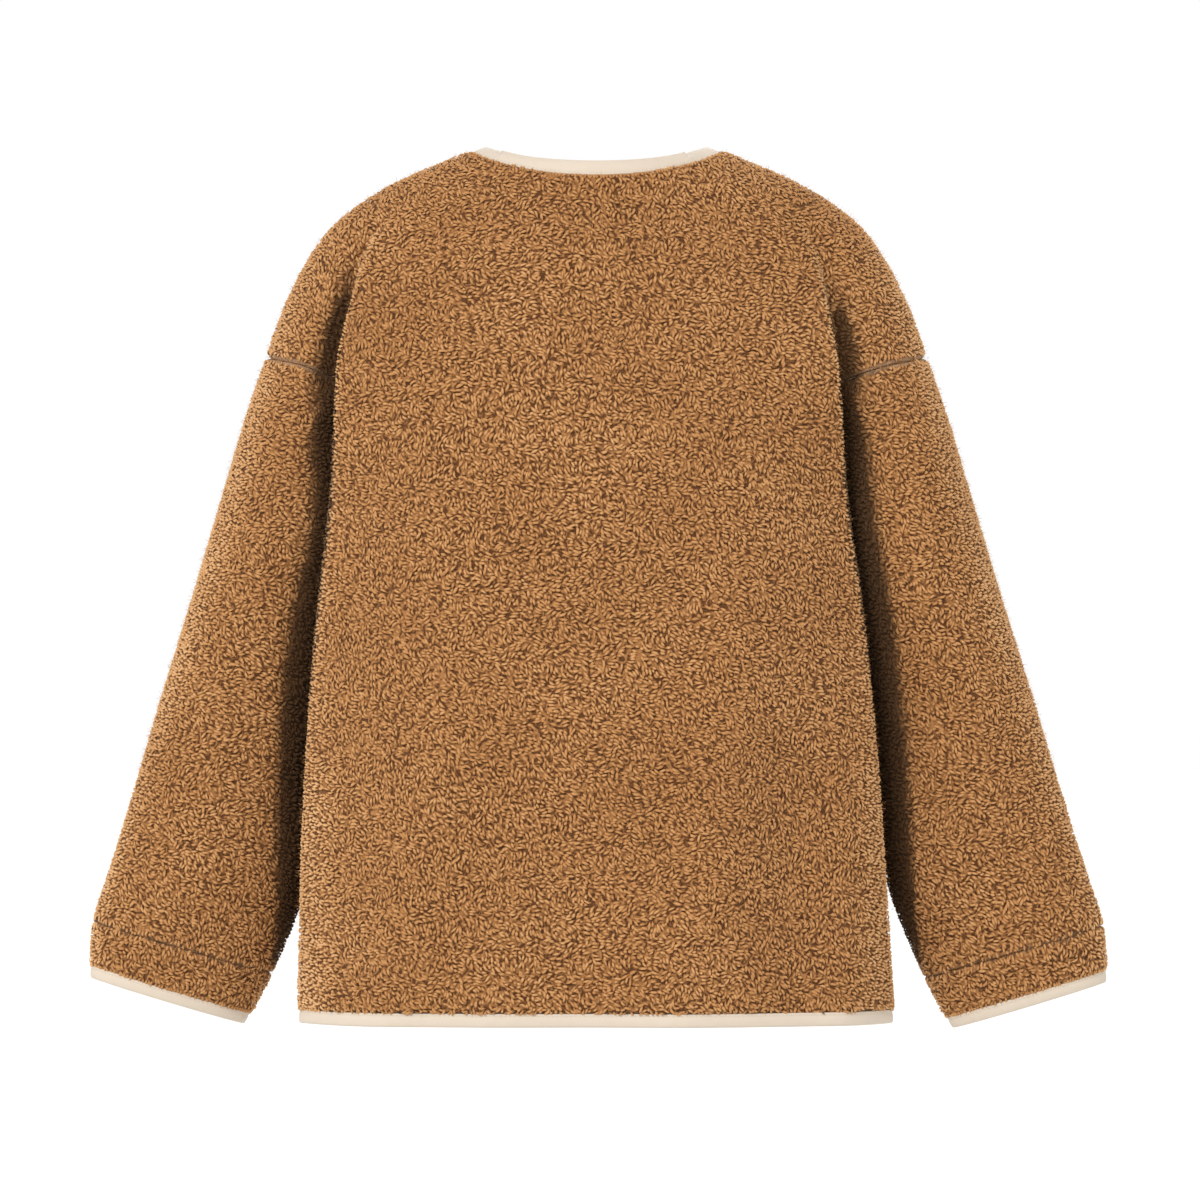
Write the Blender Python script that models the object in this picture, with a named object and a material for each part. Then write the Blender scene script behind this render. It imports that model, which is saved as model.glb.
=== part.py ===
"""A collarless cardigan in curly pile fleece with bound edges, filled out as when it is worn.

Metres, +Z up.  The wearer faces -Y, so the back is the +Y side and the wearer's left is +X.  The origin
is the middle of the neck base, level with the highest points of the shoulders.  One surface, the form,
runs over the tips of the pile.  Every cut piece is a wall between the form and the same form moved
inwards, and the bindings are strips that carry on from the cut edges.
"""

from collections import namedtuple

import bmesh
import bpy
import numpy as np
from mathutils.kdtree import KDTree

# --- Cloth, binding and seams -------------------------------------------------------------------------
FLEECE_THICKNESS = 0.0065    # knitted backing of 1.5 mm under 5 mm of curly pile
PILE_ROLL = 0.004            # how far from a cut edge the pile starts to round down
EDGE_SINK = 0.0020           # how much lower the pile is at a bound edge
SEAM_SINK = 0.0026           # how much lower it is in the groove of a sewn seam
SEAM_GAP = 0.0003            # daylight between two pieces that are sewn together
MITRE_LIMIT = 1.35           # most that the wall may grow where the form turns sharply

BINDING_TOP = 0.0020         # depth of the binding's outer face below the tips of the pile
BINDING_CLEAR = 0.00025      # between the line of the cut edge and the binding
BINDING_CORNER = 0.0012      # round of the binding's folded edge
NECK_BINDING = 0.0124        # widths of the finished bindings
HEM_BINDING = 0.0108
FRONT_BINDING = 0.0108
CUFF_BINDING = 0.0102
FRONT_GAP = 0.0030           # between the two front bindings, which meet edge to edge

# --- Body ---------------------------------------------------------------------------------------------
# Torso rings from the hem up to the underarm.  The widths run from the centre to the fold where the back
# rounds into the side, the side is the side seam, which the hanging sleeve presses in, and back and
# front are the depths at the centre.
Torso = namedtuple("Torso", "z left_width right_width fold_y side_x side_y back front")
TORSO_RINGS = (
    Torso(-0.669, 0.2340, 0.2330, 0.022, 0.2300, -0.014, 0.118, 0.120),
    Torso(-0.560, 0.2330, 0.2270, 0.030, 0.2160, -0.034, 0.119, 0.123),
    Torso(-0.450, 0.2280, 0.2190, 0.038, 0.2060, -0.028, 0.119, 0.126),
    Torso(-0.350, 0.2200, 0.2090, 0.045, 0.1900, -0.021, 0.118, 0.128),
    Torso(-0.275, 0.2120, 0.1990, 0.050, 0.1740, -0.018, 0.115, 0.127),
)
TORSO_FULLNESS = 2.5         # power of the superellipse that rounds back and front
TORSO_TURNS = (22, 42, 58)   # degrees from the centre at which the torso rings take that curve
FRONT_FOLD_WIDTH = 0.920     # the front's fold beside the sleeve, as a share of the back's
FRONT_FOLD_DEPTH = 0.68
HOLLOW_OUT = 0.14            # share of the way out to the fold's edge that the pressed side has come,
HOLLOW_ALONG = 0.55          # at this share of the way along from the side seam to that edge

# Yoke rings from the dropped armhole seam up to the neckline.  Over is the point on the line of the
# shoulder, back and front are the points on the centre line, and the valleys are the armpit folds.
Yoke = namedtuple("Yoke", "back_y back_z front_y front_z over_x over_y over_z back_valley front_valley")
YOKE_RINGS = (
    Yoke(0.108, -0.187, -0.119, -0.187, 0.2590, -0.012, -0.161, 0.034, 0.024),
    Yoke(0.101, -0.140, -0.111, -0.165, 0.2490, -0.011, -0.132, 0.025, 0.017),
    Yoke(0.092, -0.100, -0.103, -0.145, 0.2340, -0.009, -0.099, 0.014, 0.009),
    Yoke(0.082, -0.070, -0.094, -0.126, 0.2090, -0.007, -0.061, 0.005, 0.003),
    Yoke(0.071, -0.045, -0.084, -0.108, 0.1650, -0.004, -0.029, 0.000, 0.000),
    Yoke(0.063, -0.0215, -0.073, -0.090, 0.0985, 0.000, 0.000, 0.000, 0.000),
)
YOKE_RISE = 1.7              # how softly a yoke ring climbs from the centre to the shoulder
VALLEY_INWARD = (-0.70, -0.62, -0.35)   # the way in which the back's armpit fold is pushed

# Degrees round a yoke ring, from the centre to the shoulder line, of the edge, the bottom and the far
# side of each armpit fold.  The wearer's right fold is the wider one.
Fold = namedtuple("Fold", "edge crease stub")
BACK_FOLDS = {"left": Fold(52, 57, 62), "right": Fold(47, 53, 60)}
FRONT_FOLDS = {"left": Fold(49, 54, 60), "right": Fold(49, 54, 60)}
YOKE_TURNS = (20, 37)        # degrees of the yoke ring's points between the centre and the fold
OVER_TURN = 76               # and between the fold and the shoulder line

# Soft folds of the hanging cloth: a line from its top to its foot, half its width, and its height,
# which is negative for a trough.
Drape = namedtuple("Drape", "panel top_x top_z foot_x foot_z half_width height")
DRAPES = (
    Drape("back", 0.120, -0.400, 0.185, -0.800, 0.028, 0.0060),
    Drape("back", 0.020, -0.480, 0.003, -0.800, 0.042, -0.0060),
    Drape("back", -0.116, -0.300, -0.066, -0.800, 0.030, 0.0060),
    Drape("back", -0.168, -0.380, -0.154, -0.800, 0.026, -0.0055),
    Drape("back", 0.150, -0.060, 0.165, -0.280, 0.020, -0.0030),
    Drape("front", 0.070, -0.300, 0.089, -0.800, 0.030, 0.0055),
    Drape("front", 0.150, -0.380, 0.136, -0.800, 0.028, -0.0055),
    Drape("front", -0.075, -0.420, -0.054, -0.800, 0.028, 0.0050),
    Drape("front", -0.135, -0.330, -0.155, -0.800, 0.030, -0.0060),
)
DRAPE_FADE = 0.30            # share of a fold's length over which it rises from nothing
DRAPE_CALM = 3               # columns next to a side seam over which the folds die away

# --- Sleeves ------------------------------------------------------------------------------------------
# Rings of the hanging sleeve from the armhole to the cuff's end.  Out and in are its outer and inner
# points in the view from behind, middle_y is how far forward it hangs, and half_depth is half its depth.
Sleeve = namedtuple("Sleeve", "out_x out_z in_x in_z middle_y half_depth")
SLEEVE_RINGS = (
    Sleeve(0.2735, -0.205, 0.1875, -0.300, -0.018, 0.072),
    Sleeve(0.2915, -0.265, 0.1960, -0.345, -0.020, 0.069),
    Sleeve(0.3155, -0.345, 0.2070, -0.407, -0.025, 0.064),
    Sleeve(0.3420, -0.430, 0.2160, -0.480, -0.031, 0.057),
    Sleeve(0.3690, -0.520, 0.2240, -0.566, -0.037, 0.049),
    Sleeve(0.3955, -0.602, 0.2535, -0.6435, -0.043, 0.041),
)
CUFF_END = Sleeve(0.3985, -0.6370, 0.2700, -0.6755, -0.046, 0.035)
SLEEVE_FULLNESS = 2.1        # power of the superellipse of the sleeve's rings
SLEEVE_EGG = 0.16            # how much deeper the rings are outside than inside, at the armhole
Side = namedtuple("Side", "name sign cuff_drop cuff_out")
SIDES = (
    Side("left", 1, 0.0, 0.0),
    Side("right", -1, 0.0035, 0.0030),
)

# --- How finely the form is divided -------------------------------------------------------------------
TORSO_STEPS = (3, 3, 3, 3)   # rows between one torso ring and the next, from the hem
ARMHOLE_STEPS = 5            # rows from the underarm to the armhole seam's ends at the folds
YOKE_STEPS = (2, 2, 2, 2, 3)
SLEEVE_STEPS = 2             # rows between two sleeve rings
CUFF_STEPS = 2
LEAF_SHARES = (0, 0.13, 0.26, 0.39, 0.51, 0.63, 0.75, 0.85, 0.94, 1)   # columns up to the fold's edge
FLANK_SHARES = (0, 0.18, 0.42, 0.70, 1)                                 # and on to the seam
CAP_SHARES = (0, 0.10, 0.24, 0.40, 0.59, 0.79, 1)
CURVE_STEPS = 24             # points on each span of a guide curve before it is divided again
SOFT_STEPS = 7               # how many of those points a fold's roundness spreads over, each way

FRONT_EDGE = FRONT_GAP / 2 + FRONT_BINDING + SEAM_GAP / 2

WELD_DISTANCE = 0.00001      # points of two grids that are closer than this are one point
SHARP_ANGLE = 0.7            # radians between two faces past which their edge is shaded sharp

FLEECE_COLOUR = (0.337, 0.156, 0.058)
FLEECE_ROUGHNESS = 0.95
BINDING_COLOUR = (0.776, 0.665, 0.533)
BINDING_ROUGHNESS = 0.75


# --- Curves -------------------------------------------------------------------------------------------
def catmull_rom(before, start, end, after, share):
    """Point on the centripetal Catmull-Rom span from start to end, at a share of the way along it."""
    def knot(first, second):
        return np.sqrt(np.linalg.norm(second - first, axis=-1, keepdims=True)) + 1e-9

    t1 = knot(before, start)
    t2 = t1 + knot(start, end)
    t3 = t2 + knot(end, after)
    t = t1 + share * (t2 - t1)
    a1 = (t1 - t) / t1 * before + t / t1 * start
    a2 = (t2 - t) / (t2 - t1) * start + (t - t1) / (t2 - t1) * end
    a3 = (t3 - t) / (t3 - t2) * end + (t - t2) / (t3 - t2) * after
    b1 = (t2 - t) / t2 * a1 + t / t2 * a2
    b2 = (t3 - t) / (t3 - t1) * a2 + (t - t1) / (t3 - t1) * a3
    return (t2 - t) / (t2 - t1) * b1 + (t - t1) / (t2 - t1) * b2


def through(guides, first_ghost, last_ghost, steps):
    """Smooth curve through guides, with steps[i] pieces in span i; guides may be points or rows."""
    chain = [first_ghost, *guides, last_ghost]
    curve = []
    for span, count in enumerate(steps):
        curve += [catmull_rom(*chain[span:span + 4], step / count) for step in range(count)]
    curve.append(np.array(guides[-1], dtype=float))
    return np.array(curve)


def divided(curve, shares):
    """Points on a polyline at the given shares of its length."""
    lengths = np.linalg.norm(np.diff(curve, axis=0), axis=1)
    along = np.concatenate(([0.0], np.cumsum(lengths)))
    wanted = np.array(shares) * along[-1]
    return np.column_stack([np.interp(wanted, along, curve[:, axis]) for axis in range(3)])


def unit(vectors):
    """Vectors of length one."""
    return vectors / np.maximum(np.linalg.norm(vectors, axis=-1, keepdims=True), 1e-12)


def rolled(before, edge, inner, after):
    """Row beside an edge row, towards the row inside it, where the pile starts to round down."""
    share = PILE_ROLL / np.linalg.norm(inner - edge, axis=-1, keepdims=True)
    return catmull_rom(before, edge, inner, after, share)


# --- Rings of the body --------------------------------------------------------------------------------
def hollow(bottom, edge):
    """Point on the steep side of a fold, between the bottom of its valley and its rounded edge."""
    shares = np.array((HOLLOW_OUT, HOLLOW_ALONG, HOLLOW_ALONG))[:len(edge)]
    return bottom + shares * (edge - bottom)


def torso_guides(ring, side):
    """Half a torso ring from the centre back round the side to the centre front, x outwards."""
    width = ring.left_width if side.name == "left" else ring.right_width
    power = 2 / TORSO_FULLNESS
    turns = np.radians(TORSO_TURNS)
    across = width * np.sin(turns) ** power
    away = np.cos(turns) ** power
    seam = np.array((ring.side_x, ring.side_y))
    back_fold = np.array((width, ring.fold_y))
    front_depth = FRONT_FOLD_DEPTH * (ring.fold_y - ring.side_y)
    front_fold = np.array((width * FRONT_FOLD_WIDTH, ring.side_y - front_depth))
    back = [(0, ring.back), *zip(across, ring.back * away), back_fold, hollow(seam, back_fold)]
    front = [(0, -ring.front), *zip(across, -ring.front * away), front_fold, hollow(seam, front_fold)]
    outline = [*back, seam, *front[::-1]]
    return np.array([(x, y, ring.z) for x, y in outline])


def yoke_quarter(ring, centre_y, centre_z, fold, valley, way):
    """Quarter of a yoke ring from the centre to near the shoulder line, with its armpit fold."""
    degrees = (0, *YOKE_TURNS, fold.edge, fold.crease, fold.stub, OVER_TURN)
    turns = np.radians(degrees)
    points = np.column_stack((
        ring.over_x * np.sin(turns),
        ring.over_y + (centre_y - ring.over_y) * np.cos(turns),
        ring.over_z + (centre_z - ring.over_z) * np.cos(turns) ** YOKE_RISE,
    ))
    edge = degrees.index(fold.edge)
    points[edge + 1] += valley * np.array(VALLEY_INWARD) * (1, way, 1)
    return np.insert(points, edge + 1, hollow(points[edge + 1], points[edge]), axis=0)


def yoke_guides(ring, side):
    """Half a yoke ring from the centre back over the shoulder line to the centre front."""
    back = yoke_quarter(ring, ring.back_y, ring.back_z, BACK_FOLDS[side.name], ring.back_valley, 1)
    front = yoke_quarter(ring, ring.front_y, ring.front_z, FRONT_FOLDS[side.name], ring.front_valley, -1)
    over = (ring.over_x, ring.over_y, ring.over_z)
    return np.vstack((back, over, front[::-1]))


def half_ring(guides):
    """Dense curve through half a ring that meets its mirror image smoothly at both centre lines."""
    mirror = np.array((-1, 1, 1))
    spans = len(guides) - 1
    curve = through(guides, guides[1] * mirror, guides[-2] * mirror, [CURVE_STEPS] * spans)
    reach = 3 * SOFT_STEPS
    before = curve[reach:0:-1] * mirror
    after = curve[-2:-reach - 2:-1] * mirror
    weights = np.exp(-0.5 * (np.arange(-reach, reach + 1) / SOFT_STEPS) ** 2)
    padded = np.vstack((before, curve, after))
    soft = [np.convolve(padded[:, axis], weights / weights.sum(), "valid") for axis in range(3)]
    return np.column_stack(soft)


def outside_front_edge(curve):
    """A curve from the centre front without its part under the front binding."""
    first = np.nonzero(curve[:, 0] > FRONT_EDGE)[0][0]
    share = (curve[first, 0] - FRONT_EDGE) / (curve[first, 0] - curve[first - 1, 0])
    return np.vstack((curve[first] + share * (curve[first - 1] - curve[first]), curve[first:]))


def ring_rows(guides, fold, seam, facing):
    """A ring's points on the panel, and on the dropped shoulder beyond its seam if the ring has one.

    Fold and seam are the places of the fold's edge and the seam among the guides, from the centre.
    """
    curve = half_ring(guides)
    if facing == "front":
        curve = curve[::-1]
    leaf = curve[:fold * CURVE_STEPS + 1]
    flank = curve[fold * CURVE_STEPS:seam * CURVE_STEPS + 1]
    cap = curve[seam * CURVE_STEPS:len(guides) // 2 * CURVE_STEPS + 1]
    if facing == "front":
        leaf = outside_front_edge(leaf)
    panel = np.vstack((divided(leaf, LEAF_SHARES), divided(flank, FLANK_SHARES)[1:]))
    return panel, divided(cap, CAP_SHARES) if len(cap) > 1 else None


def rows_between(key_rows, steps):
    """Rows through the key rows, column by column."""
    first_ghost = 2 * key_rows[0] - key_rows[1]
    last_ghost = 2 * key_rows[-1] - key_rows[-2]
    return through(key_rows, first_ghost, last_ghost, steps)


def with_rolls(rows, places):
    """Rows with one more beside each edge row in places; a place is an edge row and its neighbour."""
    extra = {}
    for edge, inner in places:
        step = inner - edge
        start = edge - step
        before = rows[start] if 0 <= start < len(rows) else 2 * rows[edge] - rows[inner]
        extra[max(edge, inner)] = rolled(before, rows[edge], rows[inner], rows[inner + step])
    filled = []
    for number, row in enumerate(rows):
        if number in extra:
            filled.append(extra[number])
        filled.append(row)
    return np.array(filled)


def body_quarter(side, facing):
    """The panel's grid of points and the dropped shoulder's, on a quarter of the body, x outwards.

    Rows run from the hem to the neckline, and columns run from the centre outwards.  The shoulder's
    first column is the panel's last, and its first row is at the armhole seam.
    """
    torso_fold = len(TORSO_TURNS) + 1
    yoke_fold = len(YOKE_TURNS) + 1
    keys = [ring_rows(torso_guides(ring, side), torso_fold, torso_fold + 2, facing)
            for ring in TORSO_RINGS]
    keys += [ring_rows(yoke_guides(ring, side), yoke_fold, yoke_fold + 2, facing)
             for ring in YOKE_RINGS]
    panel = rows_between([row for row, _ in keys], [*TORSO_STEPS, ARMHOLE_STEPS, *YOKE_STEPS])
    cap = rows_between([row for _, row in keys if row is not None], YOKE_STEPS)
    cap[:, 0] = panel[-len(cap):, -1]
    return panel, cap


def drape_height(points, facing, sign):
    """Height of the soft folds at points of a panel, in its own half's x outwards."""
    x, z = points[..., 0] * sign, points[..., 2]
    height = np.zeros_like(x)
    for drape in DRAPES:
        if drape.panel == facing:
            along = np.clip((z - drape.top_z) / (drape.foot_z - drape.top_z), 0, 1)
            offset = x - drape.top_x - along * (drape.foot_x - drape.top_x)
            fade = np.clip(np.minimum(along, 1 - along) / DRAPE_FADE, 0, 1)
            bulge = np.exp(-(offset / drape.half_width) ** 2)
            height += drape.height * bulge * fade ** 2 * (3 - 2 * fade)
    return height


def body_half(side):
    """The four grids of the body's left or right half: {(facing, "panel" or "cap"): points}."""
    grids = {}
    for facing in ("back", "front"):
        grids[facing, "panel"], grids[facing, "cap"] = body_quarter(side, facing)
    below = slice(0, sum(TORSO_STEPS) + 1)
    seam = (grids["back", "panel"][below, -1] + grids["front", "panel"][below, -1]) / 2
    for facing, way in (("back", 1), ("front", -1)):
        panel, cap = grids[facing, "panel"], grids[facing, "cap"]
        panel[below, -1] = seam
        seam_row = len(panel) - len(cap)
        last = len(panel) - 1
        panel = with_rolls(panel, ((0, 1), (seam_row, seam_row + 1), (last, last - 1)))
        cap = with_rolls(cap, ((0, 1), (len(cap) - 1, len(cap) - 2)))
        if facing == "front":
            columns = panel.transpose(1, 0, 2)
            panel = with_rolls(columns, ((0, 1),)).transpose(1, 0, 2)
        calm = np.clip(np.arange(panel.shape[1])[::-1] / DRAPE_CALM, 0, 1)
        panel[..., 1] += way * calm * drape_height(panel, facing, side.sign)
        cap[:, 0] = panel[-len(cap):, -1]
        mirror = (side.sign, 1, 1)
        grids[facing, "panel"], grids[facing, "cap"] = panel * mirror, cap * mirror
    return grids


# --- Sleeves and cuffs --------------------------------------------------------------------------------
def armhole(grids):
    """Closed loop of the armhole seam from the shoulder line round the back, with its half count."""
    underarm = sum(TORSO_STEPS) + 1
    loop = []
    for facing in ("back", "front"):
        panel, cap = grids[facing, "panel"], grids[facing, "cap"]
        seam_row = len(panel) - len(cap)
        fold = panel[underarm:seam_row, -1]
        half = np.vstack((cap[0, ::-1], fold[::-1]))
        loop.append(half)
    back, front = loop
    return np.vstack((back, front[1:-1][::-1])), len(back) - 1


def turns_of(loop, half_count):
    """Angle of each point of the armhole on the rings below: 0 outside, half a turn inside."""
    closed = np.vstack((loop, loop[:1]))
    along = np.concatenate(([0.0], np.cumsum(np.linalg.norm(np.diff(closed, axis=0), axis=1))))
    back = along[:half_count + 1] / along[half_count]
    front = (along[half_count:] - along[half_count]) / (along[-1] - along[half_count])
    return np.pi * np.concatenate((back, 1 + front[1:-1]))


def sleeve_ring(ring, turns, side, share):
    """Ring of a sleeve, at a share of the way to the cuff, as points at the given turns."""
    x_shift = side.cuff_out * share ** 2
    z_shift = -side.cuff_drop * share ** 2
    outer = np.array((ring.out_x + x_shift, ring.middle_y, ring.out_z + z_shift))
    inner = np.array((ring.in_x + x_shift, ring.middle_y, ring.in_z + z_shift))
    power = 2 / SLEEVE_FULLNESS
    across = np.sign(np.cos(turns)) * np.abs(np.cos(turns)) ** power
    away = np.sign(np.sin(turns)) * np.abs(np.sin(turns)) ** power
    points = (outer + inner) / 2 + np.outer(across, (outer - inner) / 2)
    points[:, 1] += ring.half_depth * away * (1 + SLEEVE_EGG * (1 - share) * across)
    return points * (side.sign, 1, 1)


def sleeve_and_cuff(side, grids):
    """Grids of a sleeve and its cuff: rows run down from the armhole, columns round from outside."""
    loop, half_count = armhole(grids)
    turns = turns_of(loop, half_count)
    keys = [loop]
    for number, ring in enumerate(SLEEVE_RINGS, start=1):
        keys.append(sleeve_ring(ring, turns, side, number / len(SLEEVE_RINGS)))
    sleeve = rows_between(keys, [SLEEVE_STEPS] * len(SLEEVE_RINGS))
    last = len(sleeve) - 1
    sleeve = with_rolls(sleeve, ((0, 1), (last, last - 1)))
    cuff = rows_between([keys[-1], sleeve_ring(CUFF_END, turns, side, 1)], [CUFF_STEPS])
    cuff = with_rolls(cuff, ((0, 1), (CUFF_STEPS, CUFF_STEPS - 1)))
    return sleeve, cuff


# --- The welded form ----------------------------------------------------------------------------------
def welded(grids):
    """All the grids' points with shared ones merged, and each grid as numbers of those points."""
    points = np.concatenate([grid.reshape(-1, 3) for grid in grids.values()])
    tree = KDTree(len(points))
    for number, point in enumerate(points):
        tree.insert(point, number)
    tree.balance()
    first_near = [min(found[1] for found in tree.find_range(point, WELD_DISTANCE)) for point in points]
    kept, numbers = np.unique(first_near, return_inverse=True)
    numbered = {}
    start = 0
    for name, grid in grids.items():
        shape = grid.shape[:2]
        numbered[name] = numbers[start:start + shape[0] * shape[1]].reshape(shape)
        start += shape[0] * shape[1]
    return points[kept], numbered


def quads_of(numbers, flip, closed=False):
    """Four-sided faces between the points of a numbered grid, whose columns may close to a tube."""
    if closed:
        numbers = np.hstack((numbers, numbers[:, :1]))
    corners = (numbers[:-1, :-1], numbers[:-1, 1:], numbers[1:, 1:], numbers[1:, :-1])
    quads = np.stack(corners, axis=-1).reshape(-1, 4)
    return quads[:, ::-1] if flip else quads


def normals_of(points, quads):
    """Outward unit normal at each point, and how much longer than the wall its inner point lies."""
    first, second, third, fourth = (points[quads[:, corner]] for corner in range(4))
    crosses = np.cross(third - first, fourth - second)
    normals = np.zeros_like(points)
    for corner in range(4):
        np.add.at(normals, quads[:, corner], crosses)
    normals = unit(normals)
    leaning = np.zeros(len(points))
    count = np.zeros(len(points))
    flat = unit(crosses)
    for corner in range(4):
        np.add.at(leaning, quads[:, corner], np.sum(flat * normals[quads[:, corner]], axis=1))
        np.add.at(count, quads[:, corner], 1)
    mitre = np.clip(count / np.maximum(leaning, 1e-6), 1, MITRE_LIMIT)
    return normals, mitre


class Form:
    """The garment's surface over the tips of the pile, shared by all the pieces."""

    def __init__(self):
        grids = {}
        for side in SIDES:
            half = body_half(side)
            for (facing, kind), grid in half.items():
                grids[side.name, facing, kind] = grid
            sleeve, cuff = sleeve_and_cuff(side, half)
            grids[side.name, "sleeve"] = sleeve
            grids[side.name, "cuff"] = cuff
        self.points, self.numbers = welded(grids)
        self.quads = {name: self.faces(name) for name in grids}
        self.normals, mitre = normals_of(self.points, np.concatenate(list(self.quads.values())))
        self.inner = self.points - self.normals * (FLEECE_THICKNESS * mitre)[:, None]
        self.outer = self.points - self.normals * self.sinks()[:, None]

    def faces(self, name):
        """A grid's faces, turned outwards."""
        tube = name[1] in ("sleeve", "cuff")
        flip = (name[0] == "left") == (tube or name[1] == "back")
        return quads_of(self.numbers[name], flip, closed=tube)

    def sinks(self):
        """How far each point of the pile lies below the form, in the seams' grooves and at the edges."""
        sinks = np.zeros(len(self.points))
        for name, numbers in self.numbers.items():
            if name[1] == "cuff":
                sinks[numbers[0]] = SEAM_SINK
                sinks[numbers[-1]] = EDGE_SINK
            elif name[1] != "sleeve":
                sinks[numbers[-1]] = EDGE_SINK
                if name[2] == "cap":
                    sinks[numbers[0, 1:]] = SEAM_SINK
                else:
                    sinks[numbers[0]] = EDGE_SINK
                if name[1:] == ("front", "panel"):
                    sinks[numbers[:, 0]] = EDGE_SINK
        return sinks


# --- Walls and strips ---------------------------------------------------------------------------------
def rim_of(quads):
    """Edges of the faces that only one face has, in its own direction, with that face's number."""
    owners = {}
    for number, quad in enumerate(quads):
        for start, end in zip(quad, np.roll(quad, -1)):
            owners[start, end] = number
    return [(edge, number) for edge, number in owners.items() if edge[::-1] not in owners]


def seam_shifts(form, quads, rim):
    """How far each rim point moves into its panel, so that half a seam's gap opens along every edge."""
    inward = {}
    for (start, end), number in rim:
        edge = unit(form.points[end] - form.points[start])
        middle = form.points[quads[number]].mean(axis=0) - form.points[start]
        across = unit(middle - edge * np.dot(middle, edge))
        inward.setdefault(start, []).append(across)
        inward.setdefault(end, []).append(across)
    shifts = {}
    for point, ways in inward.items():
        first, last = ways
        shifts[point] = SEAM_GAP / 2 * (first + last) / max(1 + np.dot(first, last), 0.3)
    return shifts


def wall(form, quads):
    """Points and faces of the closed wall of cloth over some of the form's faces."""
    rim = rim_of(quads)
    shifts = seam_shifts(form, quads, rim)
    used, local = np.unique(quads, return_inverse=True)
    local = local.reshape(quads.shape)
    place = {point: number for number, point in enumerate(used)}
    shift = np.array([shifts.get(point, np.zeros(3)) for point in used])
    points = np.concatenate((form.outer[used] + shift, form.inner[used] + shift))
    count = len(used)
    faces = [*local.tolist(), *(local[:, ::-1] + count).tolist()]
    for (start, end), _ in rim:
        first, last = sorted((place[start], place[end]))
        faces.append((first, last, last + count))
        faces.append((first, last + count, first + count))
    return points, faces


def strip_section(width):
    """Section of a binding: how far it lies from the cut edge, and how deep below the pile's tips."""
    near = BINDING_CLEAR
    far = near + width
    top, low = BINDING_TOP, FLEECE_THICKNESS
    round_off = BINDING_CORNER
    return ((near, top), (far - round_off, top), (far, top + round_off),
            (far, low - round_off), (far - round_off, low), (near, low))


def strip(edge, normals, outward, width, closed=False):
    """Points and faces of a binding that carries on from a cut edge, away from the panel."""
    section = strip_section(width)
    size = len(section)
    points = [edge + away * outward - depth * normals for away, depth in section]
    points = np.stack(points, axis=1).reshape(-1, 3)
    stations = len(edge)
    faces = []
    for station in range(stations if closed else stations - 1):
        following = (station + 1) % stations
        for corner in range(size):
            turn = (corner + 1) % size
            faces.append((station * size + corner, following * size + corner,
                          following * size + turn, station * size + turn))
    if not closed:
        faces.append(tuple(range(size)))
        faces.append(tuple((stations - 1) * size + corner for corner in range(size))[::-1])
    return points, faces


def edge_frame(form, chain, inside, closed=False):
    """Points, normals and directions away from the panel along a chain of the form's points."""
    edge = form.points[chain]
    normals = form.normals[chain]
    ahead = unit(np.roll(edge, -1, axis=0) - edge)
    behind = np.roll(ahead, 1, axis=0)
    if not closed:
        ahead[-1] = behind[-1]
        behind[0] = ahead[0]
    tangents = ahead + behind
    outward = np.cross(tangents, normals)
    if not closed:
        outward[[0, -1], 0] = 0
    outward = unit(outward)
    if np.dot(outward[0], edge[0] - form.points[inside]) < 0:
        outward = -outward
    return edge, normals, outward


def trimmed(edge):
    """An edge line whose two ends are moved back by half a seam's gap."""
    edge = edge.copy()
    edge[0] += SEAM_GAP / 2 * unit(edge[1] - edge[0])
    edge[-1] += SEAM_GAP / 2 * unit(edge[-2] - edge[-1])
    return edge


# --- Pieces -------------------------------------------------------------------------------------------
def finish(node, colour, roughness):
    """The piece's own material."""
    material = bpy.data.materials.new(f"{node.name}_cloth")
    material.use_nodes = True
    shader = material.node_tree.nodes["Principled BSDF"]
    shader.inputs["Base Color"].default_value = (*colour, 1.0)
    shader.inputs["Roughness"].default_value = roughness
    shader.inputs["Metallic"].default_value = 0.0
    node.data.materials.append(material)


def add_piece(collection, name, solid, colour, roughness):
    """One named solid from its points and faces, with its normals turned outwards."""
    points, faces = solid
    mesh = bpy.data.meshes.new(name)
    mesh.from_pydata([tuple(point) for point in points], [], [tuple(face) for face in faces])
    work = bmesh.new()
    work.from_mesh(mesh)
    bmesh.ops.recalc_face_normals(work, faces=work.faces)
    work.to_mesh(mesh)
    work.free()
    mesh.shade_smooth()
    mesh.set_sharp_from_angle(angle=SHARP_ANGLE)
    node = bpy.data.objects.new(name, mesh)
    collection.objects.link(node)
    finish(node, colour, roughness)


def add_panels(form, collection):
    """The fleece pieces: the back, two fronts, two sleeves and two cuffs."""
    panels = {"back": [("left", "back"), ("right", "back")]}
    for side in SIDES:
        panels[f"{side.name}_front"] = [(side.name, "front")]
        panels[f"{side.name}_sleeve"] = [(side.name, "sleeve")]
        panels[f"{side.name}_cuff"] = [(side.name, "cuff")]
    for name, areas in panels.items():
        quads = [form.quads[key] for key in form.quads if key[:2] in areas]
        add_piece(collection, name, wall(form, np.concatenate(quads)), FLEECE_COLOUR, FLEECE_ROUGHNESS)


def neck_chain(numbers):
    """Points of the neckline from the left front edge round the back to the right front edge."""
    half = {}
    for side in SIDES:
        front = numbers[side.name, "front", "panel"][-1]
        front_cap = numbers[side.name, "front", "cap"][-1]
        back_cap = numbers[side.name, "back", "cap"][-1]
        back = numbers[side.name, "back", "panel"][-1]
        half[side.name] = [*front, *front_cap[1:], *back_cap[-2::-1], *back[-2::-1]]
    return [*half["left"], *half["right"][-2::-1]]


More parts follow.
